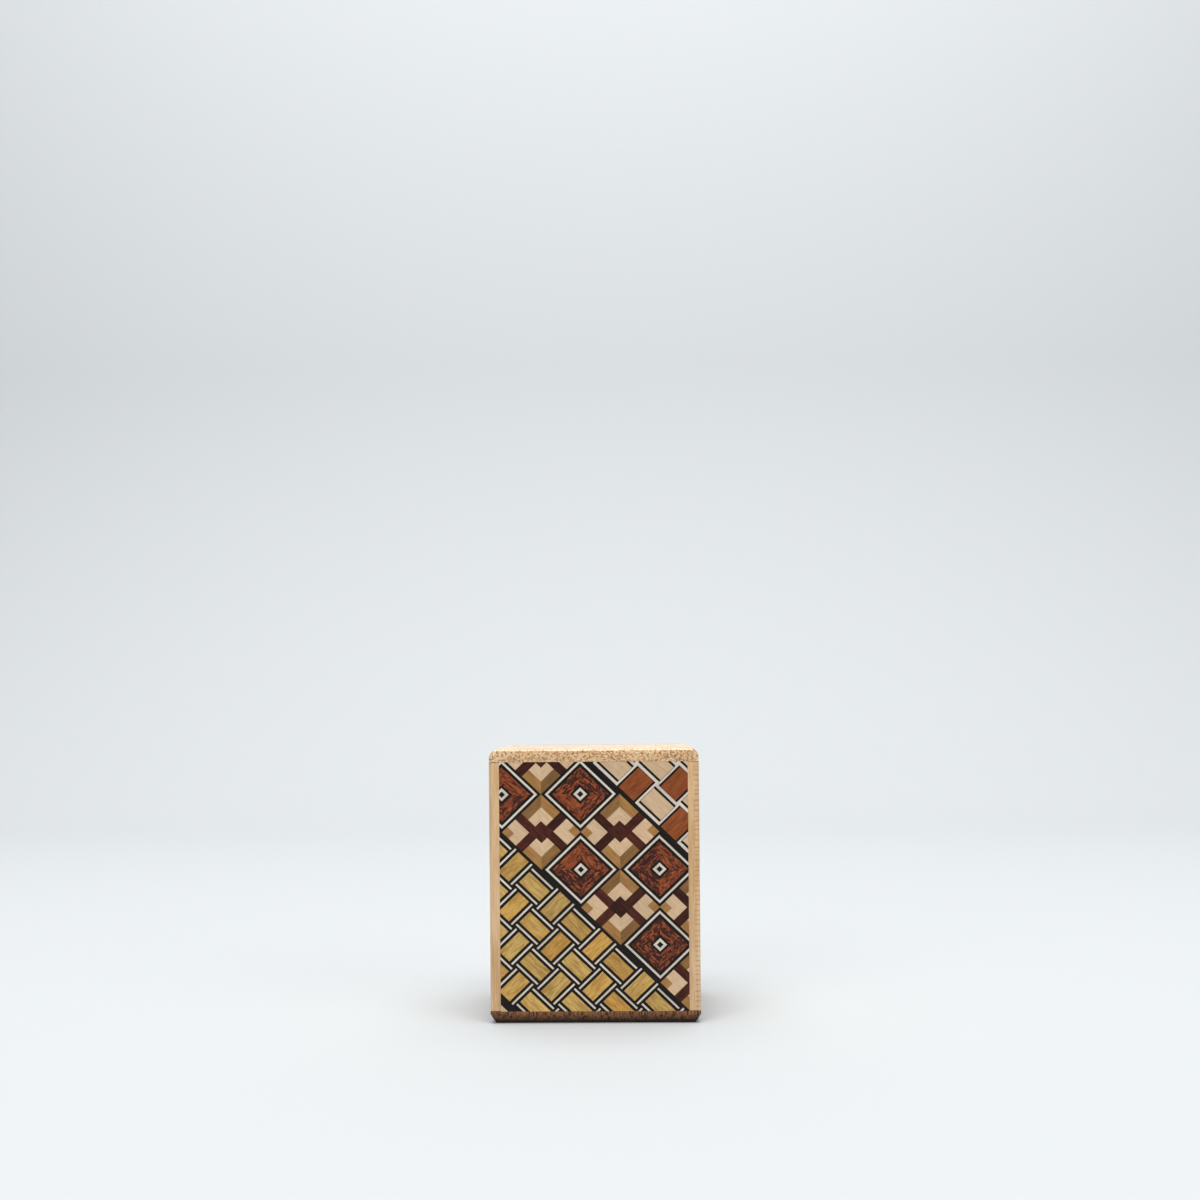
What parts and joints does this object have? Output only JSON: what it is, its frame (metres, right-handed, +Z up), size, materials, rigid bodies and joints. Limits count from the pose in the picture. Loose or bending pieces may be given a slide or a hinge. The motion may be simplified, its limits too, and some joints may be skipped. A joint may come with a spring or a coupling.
{
  "type": "wooden puzzle box",
  "caption": "Small upright wooden trick box with marquetry on both large faces, sliding end boards and a sliding lid over an inner compartment.",
  "frame": {"origin": "middle of the underside, on the surface that the box stands on", "axes": "+Z up along the box's longest side, -Y out of the front face, +X to the right of the front face"},
  "size_m": [0.0464, 0.033, 0.0606],
  "materials": {
    "plain_wood": "satin",
    "inner_wood": "planed",
    "hard_wood": "planed",
    "bamboo": "planed",
    "star_marquetry": "satin lacquer",
    "divider_wood": "satin lacquer",
    "gold_marquetry": "satin lacquer",
    "orange_marquetry": "satin lacquer"
  },
  "bodies": {
    "case": {"front_board": "inner_wood", "front_star_band": "star_marquetry", "front_lower_divider": "divider_wood", "front_upper_divider": "divider_wood", "front_gold_weave": "gold_marquetry", "front_orange_weave": "orange_marquetry", "left_board": "plain_wood", "right_board": "plain_wood", "compartment_floor": "inner_wood", "inner_top_wall": "inner_wood", "inner_bottom_wall": "inner_wood", "left_lining": "inner_wood", "right_lining": "inner_wood", "left_rail": "hard_wood", "right_rail": "hard_wood", "frame_pegs": "bamboo"},
    "top_end": {"top_board": "plain_wood", "top_left_key": "hard_wood", "top_right_key": "hard_wood"},
    "bottom_end": {"bottom_board": "plain_wood", "bottom_left_key": "hard_wood", "bottom_right_key": "hard_wood"},
    "lid": {"lid_board": "plain_wood", "lid_star_band": "star_marquetry", "lid_lower_divider": "divider_wood", "lid_upper_divider": "divider_wood", "lid_gold_weave": "gold_marquetry", "lid_orange_weave": "orange_marquetry", "lid_cleat": "plain_wood", "left_runner": "hard_wood", "right_runner": "hard_wood", "lid_stop_peg": "bamboo"}
  },
  "joints": [
    {"name": "lid_slide", "type": "slide", "parent": "case", "child": "lid", "axis": [0, 0, 1], "range_m": [0, 0.0447]},
    {"name": "top_end_slide", "type": "slide", "parent": "case", "child": "top_end", "axis": [0, -1, 0], "range_m": [0, 0.003]},
    {"name": "bottom_end_slide", "type": "slide", "parent": "case", "child": "bottom_end", "axis": [0, -1, 0], "range_m": [0, 0.003]}
  ]
}
